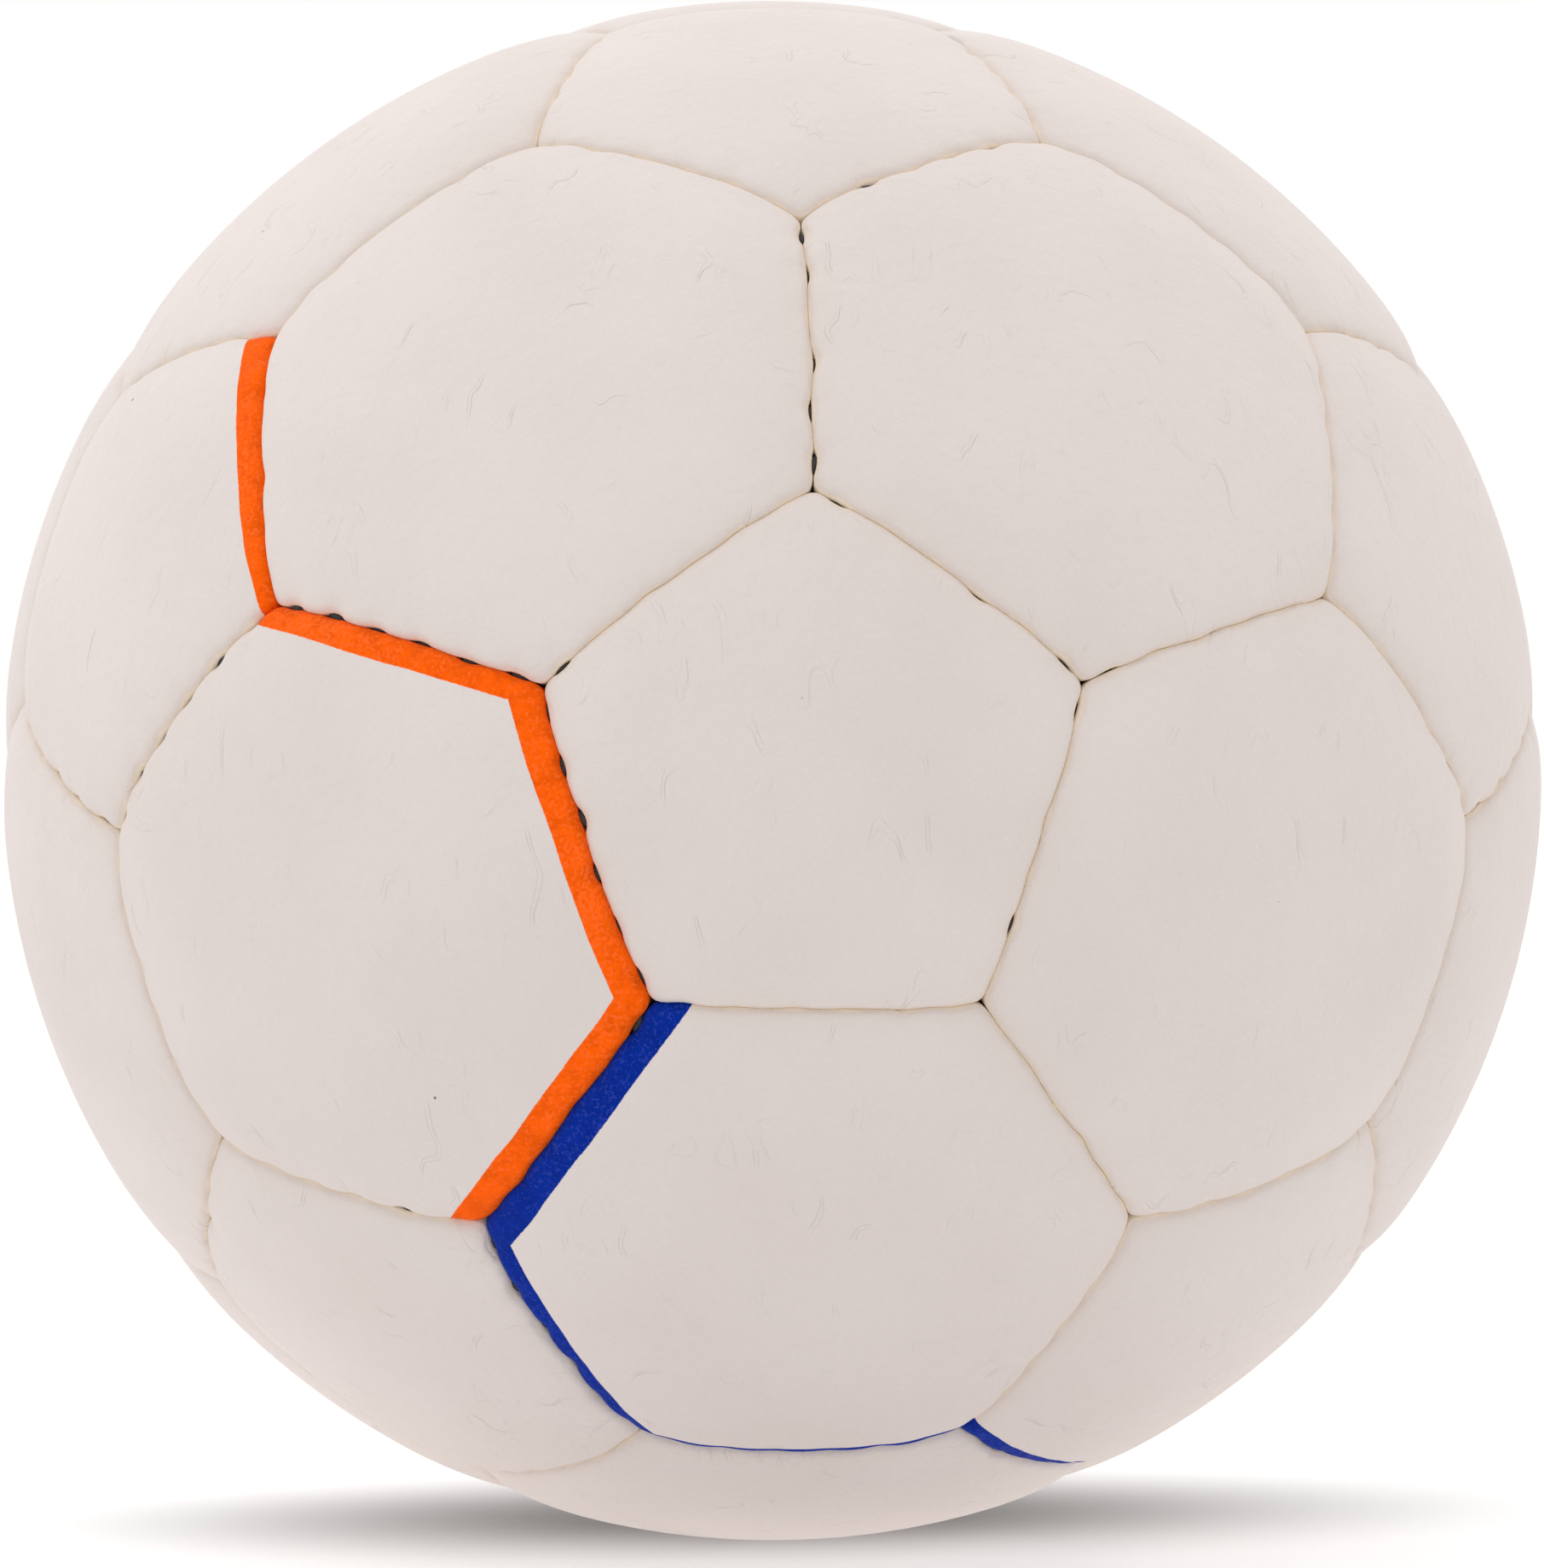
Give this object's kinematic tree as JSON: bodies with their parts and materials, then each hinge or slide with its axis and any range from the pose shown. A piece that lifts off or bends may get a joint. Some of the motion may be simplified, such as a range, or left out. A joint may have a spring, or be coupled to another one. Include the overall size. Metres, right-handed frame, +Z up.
{
  "type": "handball",
  "caption": "Hand-stitched match handball: soft pentagon and hexagon panels over foam, cloth and an inflated bladder, with a needle valve.",
  "frame": {"origin": "centre of the ball", "axes": "+Z up, -Y out through the middle of the front pentagon, which has a corner at its top, +Y out along the valve"},
  "size_m": [0.175, 0.1749, 0.175],
  "materials": {
    "cover_sheet": "matte soft-touch grain",
    "foam": "matte closed-cell foam",
    "lining_cloth": "woven cloth",
    "waxed_thread": "waxed twisted thread",
    "bladder_rubber": "satin rubber",
    "valve_rubber": "matte rubber",
    "core_rubber": "satin rubber",
    "ring_fabric": "rubberised cloth"
  },
  "bodies": {
    "ball": {"bladder": "bladder_rubber", "hexagon_foam_pads": "foam", "hexagon_linings": "lining_cloth", "hexagon_panel_01": "cover_sheet", "hexagon_panel_02": "cover_sheet", "hexagon_panel_03": "cover_sheet", "hexagon_panel_04": "cover_sheet", "hexagon_panel_05": "cover_sheet", "hexagon_panel_06": "cover_sheet", "hexagon_panel_07": "cover_sheet", "hexagon_panel_08": "cover_sheet", "hexagon_panel_09": "cover_sheet", "hexagon_panel_10": "cover_sheet", "hexagon_panel_11": "cover_sheet", "hexagon_panel_12": "cover_sheet", "hexagon_panel_13": "cover_sheet", "hexagon_panel_14": "cover_sheet", "hexagon_panel_15": "cover_sheet", "hexagon_panel_16": "cover_sheet", "hexagon_panel_17": "cover_sheet", "hexagon_panel_18": "cover_sheet", "hexagon_panel_19": "cover_sheet", "hexagon_panel_20": "cover_sheet", "hexagon_seam_threads": "waxed_thread", "pentagon_foam_pads": "foam", "pentagon_linings": "lining_cloth", "pentagon_panel_01": "cover_sheet", "pentagon_panel_02": "cover_sheet", "pentagon_panel_03": "cover_sheet", "pentagon_panel_04": "cover_sheet", "pentagon_panel_05": "cover_sheet", "pentagon_panel_06": "cover_sheet", "pentagon_panel_07": "cover_sheet", "pentagon_panel_08": "cover_sheet", "pentagon_panel_09": "cover_sheet", "pentagon_panel_10": "cover_sheet", "pentagon_panel_11": "cover_sheet", "pentagon_seam_threads": "waxed_thread", "valve_housing": "valve_rubber", "valve_panel": "cover_sheet", "valve_ring": "ring_fabric"},
    "valve_core": {"valve_core": "core_rubber"}
  },
  "joints": [
    {"name": "valve_core_pull", "type": "slide", "parent": "ball", "child": "valve_core", "axis": [0, 1, 0], "range_m": [0, 0.016]}
  ]
}
